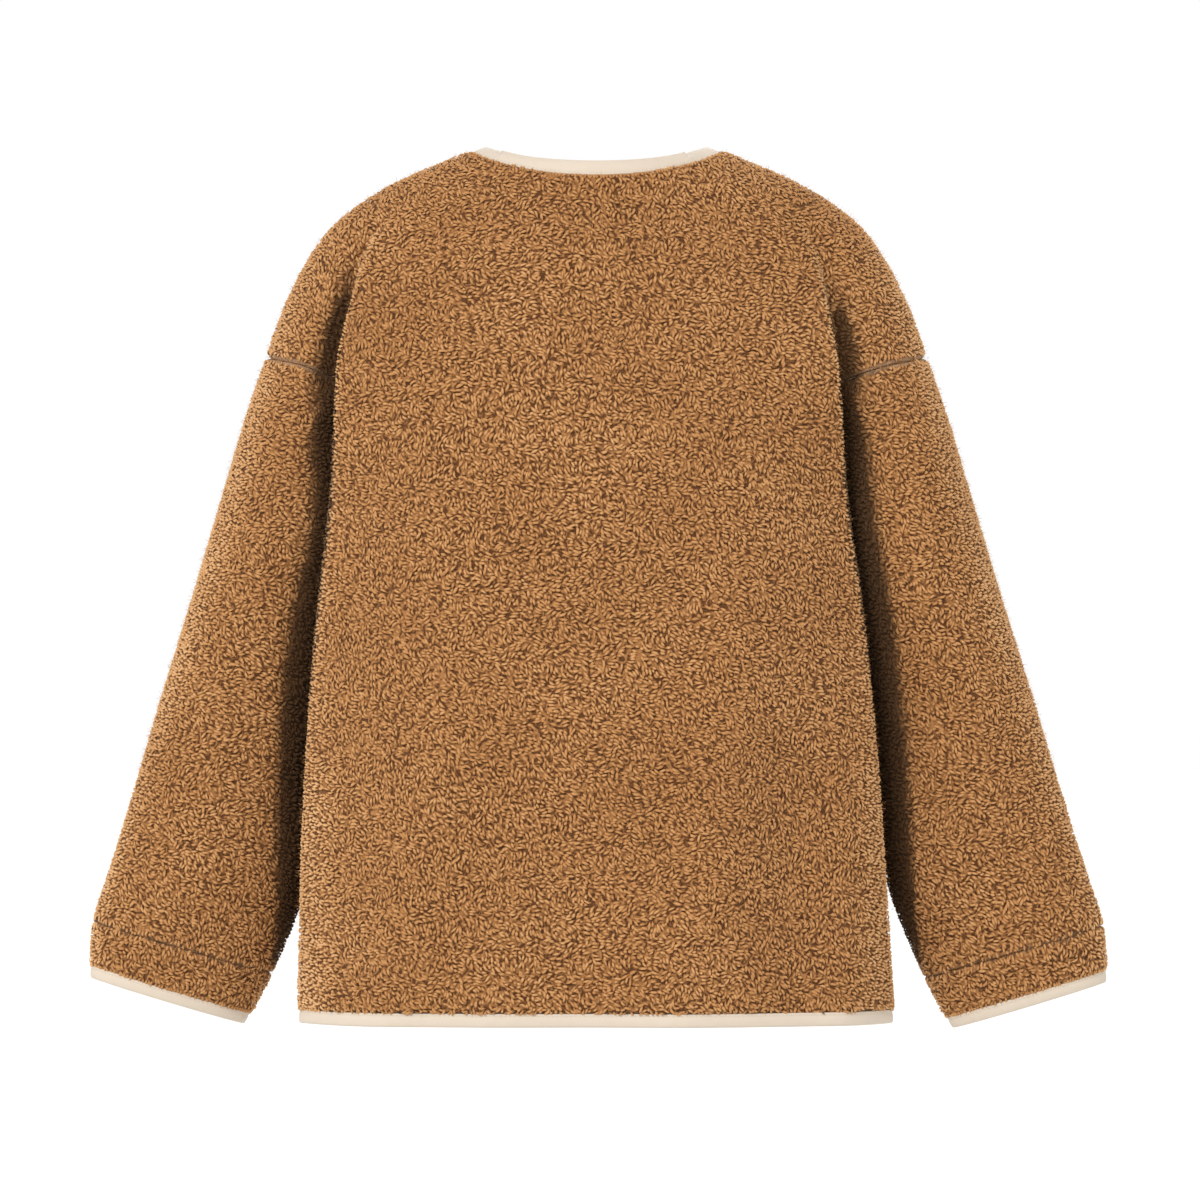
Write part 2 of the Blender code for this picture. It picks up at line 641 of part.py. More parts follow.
def hem_chain(numbers):
    """Points of the hem from the left front edge round the back to the right front edge."""
    half = {}
    for side in SIDES:
        front = numbers[side.name, "front", "panel"][0]
        back = numbers[side.name, "back", "panel"][0]
        half[side.name] = [*front, *back[-2::-1]]
    return [*half["left"], *half["right"][-2::-1]]


def add_bindings(form, collection):
    """The cream strips on the neck, the hem, the two front edges and the two cuffs."""
    numbers = form.numbers
    left_front = numbers["left", "front", "panel"]
    rounds = (
        ("neck_binding", neck_chain(numbers), left_front[-2, 0], NECK_BINDING),
        ("hem_binding", hem_chain(numbers), left_front[1, 0], HEM_BINDING),
    )
    ends = []
    for name, chain, inside, width in rounds:
        edge, normals, outward = edge_frame(form, chain, inside)
        solid = strip(trimmed(edge), normals, outward, width)
        add_piece(collection, name, solid, BINDING_COLOUR, BINDING_ROUGHNESS)
        ends.append({"left": outward[0] * width, "right": outward[-1] * width})
    neck_end, hem_end = ends
    for side in SIDES:
        front = numbers[side.name, "front", "panel"]
        edge, normals, _ = edge_frame(form, front[:, 0], front[0, 1])
        centre_way = np.array((-side.sign, 0, 0))
        outward = unit(centre_way - (normals @ centre_way)[:, None] * normals)
        edge = np.vstack((edge[0] + hem_end[side.name], edge, edge[-1] + neck_end[side.name]))
        normals = np.vstack((normals[0], normals, normals[-1]))
        outward = np.vstack((outward[0], outward, outward[-1]))
        solid = strip(edge, normals, outward, FRONT_BINDING)
        add_piece(collection, f"{side.name}_front_binding", solid, BINDING_COLOUR, BINDING_ROUGHNESS)
        cuff = numbers[side.name, "cuff"]
        edge, normals, outward = edge_frame(form, cuff[-1], cuff[-2, 0], closed=True)
        solid = strip(edge, normals, outward, CUFF_BINDING, closed=True)
        add_piece(collection, f"{side.name}_cuff_binding", solid, BINDING_COLOUR, BINDING_ROUGHNESS)


def main():
    """Clears the scene and builds the cardigan in a collection of its own."""
    for old in list(bpy.data.objects):
        bpy.data.objects.remove(old, do_unlink=True)
    collection = bpy.data.collections.new("cardigan")
    bpy.context.scene.collection.children.link(collection)
    form = Form()
    add_panels(form, collection)
    add_bindings(form, collection)


main()
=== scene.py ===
"""A cardigan in curly pile fleece with cream bound edges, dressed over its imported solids.

Metres, +Z up.  The wearer faces -Y, so the picture is taken from +Y and its left is +X.  Each panel is a
wall of knitted cloth with thousands of small curled locks of pile on it, and a few loose fibres.  Each
binding is a tape folded round the cut edge and stitched through.
"""

import math
import bmesh
import bpy
import numpy as np
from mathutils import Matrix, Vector
from mathutils.bvhtree import BVHTree
from mathutils.kdtree import KDTree


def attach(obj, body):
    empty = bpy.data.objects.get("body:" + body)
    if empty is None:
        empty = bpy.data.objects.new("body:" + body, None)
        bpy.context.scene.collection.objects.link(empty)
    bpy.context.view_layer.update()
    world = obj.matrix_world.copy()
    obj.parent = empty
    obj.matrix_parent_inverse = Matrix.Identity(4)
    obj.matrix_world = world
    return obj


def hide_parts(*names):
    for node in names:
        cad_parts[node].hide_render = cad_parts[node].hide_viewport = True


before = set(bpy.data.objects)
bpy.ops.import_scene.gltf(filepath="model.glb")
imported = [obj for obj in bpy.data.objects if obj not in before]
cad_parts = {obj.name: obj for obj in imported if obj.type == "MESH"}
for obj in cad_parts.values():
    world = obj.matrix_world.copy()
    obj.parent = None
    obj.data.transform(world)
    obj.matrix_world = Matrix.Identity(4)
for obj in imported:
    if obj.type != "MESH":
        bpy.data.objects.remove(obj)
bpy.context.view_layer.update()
ROOT = "root"
MM = 0.001

# --- Pile fleece --------------------------------------------------------------------------------------
PANELS = ("back", "left_front", "right_front", "left_sleeve", "right_sleeve", "left_cuff", "right_cuff")
JOIN_REACH = 0.02 * MM       # corners of a solid's triangles closer than this are one point
WALL_LEVELS = 1              # how often each face of a solid is divided for the knitted wall
THROUGH_STEPS = 4            # rounds that bring the smoothed wall back through its solid's points
SEAM_REACH = 0.65 * MM       # a wall's cut edge lies this close to the next piece
SEAM_CLOSING = 0.65          # and is drawn this share of the way to it, as a sewn seam closes
PILE_DEPTH = 1.9 * MM        # from the tips of the pile down to the knitted backing
EDGE_DEPTH = 0.7 * MM        # and beside a binding or in a seam's groove
EDGE_REACH = 6.0 * MM        # distance from an edge over which the pile grows to its full depth
GROOVE_HALF = 1.2 * MM       # to each side of a seam the cloth is bare and pale
GROOVE_FADE = 2.2 * MM       # and fades into the pile's colour over this
ARMHOLE_PALE, CUFF_PALE = 0.9, 0.2  # how pale the two kinds of seam are

LOCK_LENGTH = (3.4 * MM, 8.6 * MM)
LOCK_WIDTH = (1.7 * MM, 2.5 * MM)
LOCK_RISE = 0.9 * MM         # most that a lock's back stands over the tips' level
LOCK_STEPS = 3               # lengths that a lock is made of
LOCK_APART = 1.85 * MM       # between two locks side by side
LOCK_FOLLOW = 0.8            # and end to end, in lengths of the first
LOCK_ENDS, LOCK_SIDES = 0.4, 0.25   # powers that round a lock's back and its outline: less is blunter
LOCK_DROP = 0.9              # a lock's sides lie this much of its half width below its back
LOCK_FOOT = 0.35             # height that its sides are shaded at, as a share of its back's
LOCK_CELL = 12.5e-6          # square metres of cloth to a lock, roughly
LOCK_TRIES = 5               # places tried for each lock that finds room
LOCKS_A_PIECE = 20000        # a panel with more locks has them as two pieces, so that neither is heavy
GROOVE_CLEAR = 3.0 * MM      # from an armhole's groove to the middle of the nearest lock
CUFF_CLEAR = 2.0 * MM        # and from a cuff's, which the pile nearly hides
CUFFS_BELOW = -0.57          # height under which a groove is a cuff's
COMB_REACH = 8.0 * MM        # locks closer than this to an edge are combed towards it
COMB_STRENGTH = 1.6          # against the lay that they would have
FRINGE_REACH = 3.8 * MM      # the pile this close to a binding is one row of tufts
FRINGE_PLACE = 1.0 * MM      # whose middles are this far from it
FRINGE_LENGTH = (5.0 * MM, 7.0 * MM)
TURN_START, TURN_REACH = 0.58, 0.3  # where the cloth turns away to a side, its pile is combed across
TURN_COMB = 0.85             # by this share
TURN_HIGHLIGHT = 1.1             # and lighter by this many times the difference between two locks, as a painted highlight
LAY_ANGLE = math.radians(36) # the locks of the back lie mostly up towards the picture's right
LAY_SWIRL = math.radians(62) # and swirl this far to each side
LAY_LOOSE = math.radians(13) # and each lies a little its own way
CLUMP_SIZE = 9.0 * MM        # locks within a clump lie together
LAY_DRIFT = 120 * MM         # and the lay drifts slowly over the garment
DRIFT_SHARE = 0.5            # by this share of the swirl
NOISE_WAVES = 6              # waves that a smooth random number is made of

# Soft folds low on the back: x and z of their two ends, half width and height, in millimetres.
FOLDS = ((154, -630, 124, -468, 24, 4.0), (30, -545, 20, -630, 30, -4.2), (-76, -624, -112, -352, 26, 3.6),
         (-157, -476, -162, -650, 26, -4.0), (90, -600, 62, -430, 22, -2.8), (-20, -640, -34, -470, 22, 2.6))
FOLD_FACING = 0.6            # they fade where the cloth faces less backwards than this

HAIR_SPACING = 4.4 * MM      # between the single loose fibres that stand out of the pile
HAIR_LENGTH = (2.0 * MM, 4.5 * MM)
HAIR_WIDTH = 0.24 * MM
HAIR_STAND = 0.75            # how much they stand up
HAIR_SCATTER = 0.55          # and lean every way
HAIR_BOW = 0.25              # and bow, in lengths

CREVICE_REACH = 26 * MM      # what stands closer than this to the pile darkens it with painted shade
CREVICE_START = 7 * MM       # looked for from this far above the pile, clear of the soft folds
CREVICE_RAYS = 18            # ways looked in
CREVICE_SHARE = 0.33         # share of blocked ways at which the pile is darkest
GOLDEN_ANGLE = 2.399963      # from one way to the next, so that they spread evenly
CREVICE_DARK = 0.95          # share of the darkest colour there, as painted shade

# --- Bindings -----------------------------------------------------------------------------------------
BINDINGS = ("neck_binding", "hem_binding", "left_front_binding", "right_front_binding",
            "left_cuff_binding", "right_cuff_binding")
SECTION_CORNERS = 6          # corners of a binding's section in its solid
SECTION_REACH = 20 * MM      # no section is larger than this
RAIL_SPACING = 3.6 * MM      # between two sections of a finished binding
STITCH_PITCH = 3.6 * MM
STITCH_LENGTH = 2.6 * MM
STITCH_WIDTH = 0.75 * MM
STITCH_INSET = 1.9 * MM      # from the pile to the line of stitches
STITCH_SUNK = 0.3 * MM       # depth of a stitch's middle in the tape, and its rise out of it
TAPE = 0.7 * MM              # thickness of the folded tape

# The cloth of each panel that shows: its width and length laid flat, its area, and how it is held.
CUTS = {
    "back": ((0.66, 0.70), 0.41, "hung"),
    "left_front": ((0.33, 0.68), 0.167, "hung"),
    "right_front": ((0.33, 0.68), 0.167, "hung"),
    "left_sleeve": ((0.46, 0.47), 0.175, "hung"),
    "right_sleeve": ((0.46, 0.47), 0.175, "hung"),
    "left_cuff": ((0.32, 0.05), 0.0127, "hung"),
    "right_cuff": ((0.32, 0.05), 0.0127, "hung"),
}

# --- Picture ------------------------------------------------------------------------------------------
PICTURE_PIXELS = 1200
PIXEL = 0.78 * MM            # of the garment to one pixel of the picture
MIDDLE_X = -2.73 * MM        # what the middle of the picture shows
MIDDLE_Z = -351 * MM
LENS = 300.0                 # a long lens, since the picture has hardly any perspective
SENSOR = 36.0
FLOOR_Z = -1.0
FLOOR_SIZE = 60
AMBIENT = 0.48               # strength of the even white light from all round, next to the world that shows
# The lamps: strength, softness as the angle that a lamp fills, and the way to it from the garment.
LAMPS = (("key", 2.0, 24, (0.45, 1.0, 0.8)), ("left", 0.6, 40, (1.0, 0.35, 0.3)),
         ("right", 0.6, 40, (-1.0, 0.35, 0.3)), ("back", 1.7, 50, (-0.4, -1.0, 0.7)))

rng = np.random.default_rng(20)


# --- Meshes -------------------------------------------------------------------------------------------
def add_object(name, points, faces):
    """A new mesh object from its points and faces."""
    mesh = bpy.data.meshes.new(name)
    mesh.vertices.add(len(points))
    mesh.vertices.foreach_set("co", np.asarray(points, dtype=np.float32).ravel())
    sizes = np.array([len(face) for face in faces])
    corners = np.concatenate([np.asarray(face) for face in faces])
    mesh.loops.add(len(corners))
    mesh.loops.foreach_set("vertex_index", corners.astype(np.int32))
    mesh.polygons.add(len(sizes))
    mesh.polygons.foreach_set("loop_start", np.concatenate(([0], np.cumsum(sizes)[:-1])).astype(np.int32))
    mesh.update(calc_edges=True)
    mesh.validate()
    mesh.shade_smooth()
    piece = bpy.data.objects.new(name, mesh)
    bpy.context.scene.collection.objects.link(piece)
    return piece


def places(mesh):
    """A mesh's points as an array."""
    co = np.empty(len(mesh.vertices) * 3)
    mesh.vertices.foreach_get("co", co)
    return co.reshape(-1, 3)


def unit(vectors):
    """Vectors of length one."""
    return vectors / np.maximum(np.linalg.norm(vectors, axis=-1, keepdims=True), 1e-12)


def merged(name):
    """A copy of a node's solid with its loose triangles joined."""
    solid = bmesh.new()
    solid.from_mesh(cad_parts[name].data)
    bmesh.ops.remove_doubles(solid, verts=solid.verts, dist=JOIN_REACH)
    return solid


def connected(faces):
    """Groups of faces that share edges, the group with the most area first."""
    left = set(faces)
    groups = []
    while left:
        front = [left.pop()]
        group = []
        while front:
            face = front.pop()
            group.append(face)
            for other in {other for edge in face.edges for other in edge.link_faces} & left:
                left.remove(other)
                front.append(other)
        groups.append(group)
    return sorted(groups, key=lambda group: -sum(face.calc_area() for face in group))


def whole_faces(solid):
    """Takes out the diagonals, each of which is the longest edge of both its triangles."""
    diagonals = []
    for edge in solid.edges:
        longest = [max(face.edges, key=lambda side: side.calc_length()) for face in edge.link_faces]
        sides = {face.material_index for face in edge.link_faces}
        if len(longest) == 2 and len(sides) == 1 and all(side is edge for side in longest):
            diagonals.append(edge)
    bmesh.ops.dissolve_edges(solid, edges=diagonals, use_verts=False)


PILE_SIDE, KNIT_SIDE, CUT_SIDE = range(3)


def panel_wall(name, trees):
    """The panel's wall, smoothly divided, with the pile side, the knit side and the cut edges marked.

    A cut edge's faces are those that lie against another piece of the garment.
    """
    solid = merged(name)
    others = [tree for other, tree in trees.items() if other != name]
    inside = []
    for face in solid.faces:
        middle = face.calc_center_median()
        if any(tree.find_nearest(middle, SEAM_REACH)[0] for tree in others):
            face.material_index = CUT_SIDE
        else:
            inside.append(face)
    pile, knit = connected(inside)
    for number, faces in ((PILE_SIDE, pile), (KNIT_SIDE, knit)):
        for face in faces:
            face.material_index = number
    whole_faces(solid)
    crease = solid.edges.layers.float.new("crease_edge")
    for edge in solid.edges:
        if len({face.material_index for face in edge.link_faces}) > 1:
            edge[crease] = 1.0
    mesh = bpy.data.meshes.new(name + "_wall")
    solid.to_mesh(mesh)
    solid.free()
    wall = bpy.data.objects.new(name + "_wall", mesh)
    bpy.context.scene.collection.objects.link(wall)
    subdivision = wall.modifiers.new("smooth", "SUBSURF")
    subdivision.levels = subdivision.render_levels = WALL_LEVELS
    wanted = places(mesh)
    control = wanted.copy()
    for _ in range(THROUGH_STEPS):
        mesh.vertices.foreach_set("co", control.ravel())
        mesh.update()
        bpy.context.view_layer.update()
        smooth = wall.evaluated_get(bpy.context.evaluated_depsgraph_get())
        reached = places(smooth.data)[:len(wanted)]
        control += wanted - reached
    mesh.vertices.foreach_set("co", control.ravel())
    mesh.update()
    bpy.ops.object.select_all(action="DESELECT")
    bpy.context.view_layer.objects.active = wall
    wall.select_set(True)
    bpy.ops.object.modifier_apply(modifier="smooth")
    wall.data.shade_smooth()
    closed = places(wall.data)
    for number, place in enumerate(closed):
        for tree in others:
            beside = tree.find_nearest(place, SEAM_REACH)[0]
            if beside:
                closed[number] += (np.array(beside) - place) * SEAM_CLOSING
                break
    wall.data.vertices.foreach_set("co", closed.ravel())
    wall.data.update()
    return wall


def faces_on(mesh, side):
    """The corner numbers of the mesh's four-sided faces on one side of the wall, split in triangles."""
    mesh.calc_loop_triangles()
    count = len(mesh.loop_triangles)
    corners = np.empty(count * 3, dtype=np.int32)
    mesh.loop_triangles.foreach_get("vertices", corners)
    owners = np.empty(count, dtype=np.int32)
    mesh.loop_triangles.foreach_get("polygon_index", owners)
    sides = np.empty(len(mesh.polygons), dtype=np.int32)
    mesh.polygons.foreach_get("material_index", sides)
    return corners.reshape(-1, 3)[sides[owners] == side]


def point_normals(points, triangles):
    """Unit normals of the points, from the triangles alone."""
    first, second, third = (points[triangles[:, corner]] for corner in range(3))
    across = np.cross(second - first, third - first)
    normals = np.zeros_like(points)
    for corner in range(3):
        np.add.at(normals, triangles[:, corner], across)
    return unit(normals)


def folded(points, normals):
    """The points of the back moved in and out where its soft folds run."""
    moved = np.zeros(len(points))
    spots = points[:, [0, 2]] / MM
    for x, z, end_x, end_z, reach, height in FOLDS:
        start, run = np.array((x, z)), np.array((end_x - x, end_z - z))
        share = (spots - start) @ run / (run @ run)
        across = np.linalg.norm(spots - start - np.clip(share, 0, 1)[:, None] * run, axis=1)
        moved += height * np.exp(-(across / reach) ** 2)
    return points + normals * (moved * MM * smoothstep(normals[:, 1] / FOLD_FACING))[:, None]


def rim_points(points, triangles):
    """Points 1 mm apart along the border of a set of triangles."""
    sides = [triangles[:, pair] for pair in ([0, 1], [1, 2], [2, 0])]
    edges = np.sort(np.concatenate(sides), axis=1)
    single, uses = np.unique(edges, axis=0, return_counts=True)
    rim = single[uses == 1]
    start, end = points[rim[:, 0]], points[rim[:, 1]]
    count = int(np.linalg.norm(end - start, axis=1).max() / MM) + 1
    shares = np.arange(count)[:, None, None] / count
    return (start + shares * (end - start)).reshape(-1, 3)


def tree_of(points):
    """A search tree over points."""
    tree = KDTree(len(points))
    for number, point in enumerate(points):
        tree.insert(point, number)
    tree.balance()
    return tree


def distances(tree, points):
    """Distance from each point to the nearest one in the tree."""
    return np.array([tree.find(point)[2] for point in points])


def smoothstep(values):
    """0 below 0, 1 above 1, and smooth between."""
    clipped = np.clip(values, 0, 1)
    return clipped * clipped * (3 - 2 * clipped)


# --- Materials ----------------------------------------------------------------------------------------
def linear(code):
    """Linear colour from an sRGB hex value."""
    values = [int(code[start:start + 2], 16) / 255 for start in (1, 3, 5)]
    return (*(v / 12.92 if v <= 0.04045 else ((v + 0.055) / 1.055) ** 2.4 for v in values), 1.0)


def add_node(material, kind, settings=None, inputs=None):
    """A node with its settings and its inputs, each a value or another node's output."""
    node = material.node_tree.nodes.new(kind)
    for name, value in (settings or {}).items():
        setattr(node, name, value)
    for name, value in (inputs or {}).items():
        if isinstance(value, bpy.types.NodeSocket):
            material.node_tree.links.new(value, node.inputs[name])
        else:
            node.inputs[name].default_value = value
    return node


def new_material(name, roughness, sheen=0.0, sheen_tint="#ffffff"):
    """A matt cloth material and its shader."""
    material = bpy.data.materials.new(name)
    material.use_nodes = True
    shader = material.node_tree.nodes["Principled BSDF"]
    shader.inputs["Roughness"].default_value = roughness
    shader.inputs["Specular IOR Level"].default_value = 0.25
    shader.inputs["Sheen Weight"].default_value = sheen
    shader.inputs["Sheen Roughness"].default_value = 0.45
    shader.inputs["Sheen Tint"].default_value = linear(sheen_tint)
    return material, shader


def ramp(material, factor, stops):
    """A colour ramp over a factor; stops are places and sRGB hex values."""
    node = add_node(material, "ShaderNodeValToRGB", inputs={"Fac": factor})
    elements = node.color_ramp.elements
    while len(elements) < len(stops):
        elements.new(1.0)
    for element, (place, code) in zip(elements, stops):
        element.position = place
        element.color = linear(code)
    return node.outputs["Color"]


def noise(material, scale, detail=2.0):
    """Noise fixed to the garment, with features about as large as a metre divided by its scale."""
    place = add_node(material, "ShaderNodeTexCoord").outputs["Object"]
    inputs = {"Vector": place, "Scale": scale, "Detail": detail}
    return add_node(material, "ShaderNodeTexNoise", {}, inputs).outputs["Fac"]


def wave(material, place, direction, scale, distortion):
    """Bands across a direction."""
    settings = {"wave_type": "BANDS", "bands_direction": direction}
    inputs = {"Vector": place, "Scale": scale, "Distortion": distortion}
    return add_node(material, "ShaderNodeTexWave", settings, inputs).outputs["Fac"]


def sum_of(material, operation, *values):
    """The result of a math node on values or outputs."""
    return add_node(material, "ShaderNodeMath", {"operation": operation}, dict(enumerate(values))).outputs[0]


def painted(material, name):
    """A number that the mesh carries at each of its points."""
    return add_node(material, "ShaderNodeAttribute", {"attribute_name": name}).outputs["Fac"]


def mixed(material, share, first, second):
    """A colour that goes from the first to the second, an sRGB hex value, with the share."""
    inputs = {"Factor": share, "A": first, "B": linear(second)}
    return add_node(material, "ShaderNodeMix", {"data_type": "RGBA"}, inputs).outputs["Result"]


def finish_surface(material, shader, colour, height, strength, depth):
    """Gives a shader its colour, and a bump that is so many millimetres deep."""
    inputs = {"Strength": strength, "Distance": depth * MM, "Height": height}
    bump = add_node(material, "ShaderNodeBump", {}, inputs)
    material.node_tree.links.new(colour, shader.inputs["Base Color"])
    material.node_tree.links.new(bump.outputs["Normal"], shader.inputs["Normal"])
    return material


def painted_fold_shade(material, colour):
    """The colour darkened by painted shade where the pile lies in a fold or against the next part, out of the
    light.
    """
    # painted shade: the colour goes towards dark brown with the share of ways out that the garment blocks
    share = sum_of(material, "MULTIPLY", painted(material, "crevice_shade"), CREVICE_DARK)
    return mixed(material, share, colour, "#3f2711")


def lock_material():
    """Curly polyester pile: soft rounded locks, pale along their backs and browner towards their roots, as
    painted highlight and shade.
    """
    material, shader = new_material("polyester_pile_locks", 0.9, 0.45, "#f0cda2")
    fibre = noise(material, 700.0, 3.0)
    mottle = noise(material, 11.0, 4.0)
    # painted highlight and shade: each lock is lighter along its back and darker on its sides and at its ends
    lift = sum_of(material, "MULTIPLY", painted(material, "lock_height_shade"), 0.36)
    # each lock's own tone at random, with the painted highlight of the sides that turn towards the side lamps
    # added to it
    for amount, source in ((0.34, fibre), (0.14, painted(material, "lock_tint_and_highlight")), (0.34, mottle)):
        lift = sum_of(material, "MULTIPLY_ADD", source, amount, lift)
    colour = ramp(material, lift,
                  ((0.12, "#744a25"), (0.38, "#9d6a3b"), (0.68, "#ba8653"), (0.95, "#d9ad7c")))
    return finish_surface(material, shader, painted_fold_shade(material, colour), fibre, 0.7, 0.5)


def ground_material():
    """The lower pile between the locks: the same curls, flatter and darker as painted shade, as worming
    ridges 3 mm apart.
    """
    material, shader = new_material("polyester_pile_ground", 0.95, 0.2, "#e8c39a")
    turns = sum_of(material, "MULTIPLY", noise(material, 110.0, 1.5), 34.0)
    worms = sum_of(material, "SINE", turns)
    relief = sum_of(material, "MULTIPLY_ADD", worms, 0.35, noise(material, 700.0, 3.0))
    # painted shade: darker in the troughs of the worming ridges, and darker than the locks overall
    colour = ramp(material, relief, ((0.15, "#54331a"), (0.5, "#835630"), (0.9, "#ad7a49")))
    colour = mixed(material, painted(material, "groove"), colour, "#b39273")
    return finish_surface(material, shader, painted_fold_shade(material, colour), relief, 0.8, 1.2)


def knit_material():
    """The fleece's knitted back: fine flat loops in the same yarn, with the pile's roots between them."""
    material, shader = new_material("polyester_knit_backing", 0.9, 0.2, "#e8c39a")
    place = add_node(material, "ShaderNodeTexCoord").outputs["Object"]
    loops = wave(material, place, "X", 130.0, 1.5)
    courses = wave(material, place, "Z", 150.0, 1.0)
    knit = sum_of(material, "MULTIPLY", loops, courses)
    colour = ramp(material, knit, ((0.0, "#8f6740"), (1.0, "#b58a5e")))
    return finish_surface(material, shader, colour, knit, 0.4, 0.5)


def tape_material():
    """Polyester-cotton tape: a fine even twill, smooth and matt, a little uneven from its slubs."""
    material, shader = new_material("woven_tape", 0.7, 0.15)
    along = add_node(material, "ShaderNodeUVMap", {"uv_map": "tape"}).outputs["UV"]
    twill = wave(material, along, "DIAGONAL", 380.0, 0.3)
    soft = sum_of(material, "MULTIPLY_ADD", noise(material, 160.0, 3.0), 0.7, twill)
    colour = ramp(material, soft, ((0.2, "#c5b6a3"), (1.0, "#d2c4b3")))
    return finish_surface(material, shader, colour, soft, 0.25, 0.15)


def thread_material():
    """Spun polyester thread: a little darker than the tape, as painted shade where each stitch sinks into it,
    and slightly glossy.
    """
    material, shader = new_material("sewing_thread", 0.5, 0.1)
    colour = ramp(material, noise(material, 1500.0), ((0.3, "#b09a7c"), (0.7, "#cdbb9f")))
    material.node_tree.links.new(colour, shader.inputs["Base Color"])
    return material


# --- Locks of pile ------------------------------------------------------------------------------------
def scatter(points, triangles, normals, count):
    """Random places on triangles, with the normals there."""
    first, second, third = (points[triangles[:, corner]] for corner in range(3))
    areas = np.linalg.norm(np.cross(second - first, third - first), axis=1) / 2
    chosen = rng.choice(len(triangles), size=count, p=areas / areas.sum())
    a, b = np.sqrt(rng.random(count)), rng.random(count)
    weights = np.stack((1 - a, a * (1 - b), a * b), axis=1)[:, :, None]
    corners = triangles[chosen]
    return (points[corners] * weights).sum(axis=1), unit((normals[corners] * weights).sum(axis=1))


def area_of(points, triangles):
    """Area of a set of triangles."""
    first, second, third = (points[triangles[:, corner]] for corner in range(3))
    return float(np.linalg.norm(np.cross(second - first, third - first), axis=1).sum() / 2)


def with_room(place, along, reach, apart):
    """Numbers of the places that keep clear of one another, in an oval about each that lies along it."""
    tree = tree_of(place)
    taken = [False] * len(place)
    kept = []
    ways, reaches = along.tolist(), reach.tolist()
    flat = 1 / apart ** 2
    for number, spot in enumerate(place.tolist()):
        if taken[number]:
            continue
        kept.append(number)
        x, y, z = spot
        u, v, w = ways[number]
        long = 1 / reaches[number] ** 2
        for other, neighbour, distance in tree.find_range(spot, reaches[number]):
            run = ((other[0] - x) * u + (other[1] - y) * v + (other[2] - z) * w) ** 2
            if run * long + (distance ** 2 - run) * flat < 1:
                taken[neighbour] = True
    return np.array(kept)


def ridge_pattern():
    """Faces of one lock or stitch: a pointed ridge of LOCK_STEPS lengths with a point at each end."""
    faces = []
    rings = LOCK_STEPS - 1
    last = 1 + 3 * rings
    for side in (0, 1):
        faces.append((0, 1 + side + 1, 1 + side))
        faces.append((last, last - 3 + side, last - 3 + side + 1))
    for ring in range(rings - 1):
        base = 1 + 3 * ring
        for side in (0, 1):
            faces.append((base + side, base + side + 1, base + side + 4))
            faces.append((base + side, base + side + 4, base + side + 3))
    return np.array(faces)


def lay_noise(place, size, seed):
    """Smooth random numbers from -1 to 1 over space, with features about as large as size."""
    phases = np.random.default_rng(seed)
    total = np.zeros(len(place))
    for _ in range(NOISE_WAVES):
        way = unit(phases.normal(size=3))
        step = 2 * math.pi / (size * phases.uniform(1.2, 2.8))
        total += np.sin(place @ way * step + phases.uniform(0, 2 * math.pi))
    return total * 2 / NOISE_WAVES


def ridges(spine, facing, width, depth, rise):
    """Points and heights of small arched ridges along spines of LOCK_STEPS lengths.

    The spine lies level in the pile; a ridge's two ends are depth below it.  For a lock, the heights set
    painted light and shade: lightest along its back, darker on its sides and at its ends.
    """
    rows = []
    heights = []
    for step in range(LOCK_STEPS + 1):
        share = step / LOCK_STEPS
        arch = math.sin(math.pi * share) ** LOCK_ENDS
        top = spine[:, step] + facing * ((depth + rise) * arch - depth)[:, None]
        if step in (0, LOCK_STEPS):
            rows.append(top[:, None])
            heights.append(np.zeros((len(spine), 1)))
        else:
            half = width / 2 * math.sin(math.pi * share) ** LOCK_SIDES
            ahead = unit(spine[:, step + 1] - spine[:, step - 1])
            side = np.cross(facing, ahead) * half[:, None]
            drop = facing * (half * LOCK_DROP)[:, None]
            rows.append(np.stack((top - side - drop, top, top + side - drop), axis=1))
            heights.append(np.tile((LOCK_FOOT * arch, arch, LOCK_FOOT * arch), (len(spine), 1)))
    return np.concatenate(rows, axis=1), np.concatenate(heights, axis=1)


def crevices(garment, place, facing):
    """How deep each place lies in a fold or between two parts of the garment, from 0 in the open to 1."""
    level = unit(np.cross(facing, np.array((0.0, 0.0, 1.0))) + 1e-6)
    rising = np.cross(level, facing)
    start = place + facing * CREVICE_START
    blocked = np.zeros(len(place))
    for ray in range(CREVICE_RAYS):
        share = (ray + 0.5) / CREVICE_RAYS
        out, turn = math.sqrt(1 - share), ray * GOLDEN_ANGLE
        flat = math.sqrt(share)
        way = facing * out + level * flat * math.cos(turn) + rising * flat * math.sin(turn)
        blocked += [garment.ray_cast(spot, ahead, CREVICE_REACH)[0] is not None
                    for spot, ahead in zip(start.tolist(), way.tolist())]
    return smoothstep(blocked / CREVICE_RAYS / CREVICE_SHARE)


def add_layer(piece, name, values):
    """A number for each point of a piece, for its material to read."""
    layer = piece.data.attributes.new(name, "FLOAT", "POINT")
    layer.data.foreach_set("value", np.asarray(values, dtype=np.float32).ravel())


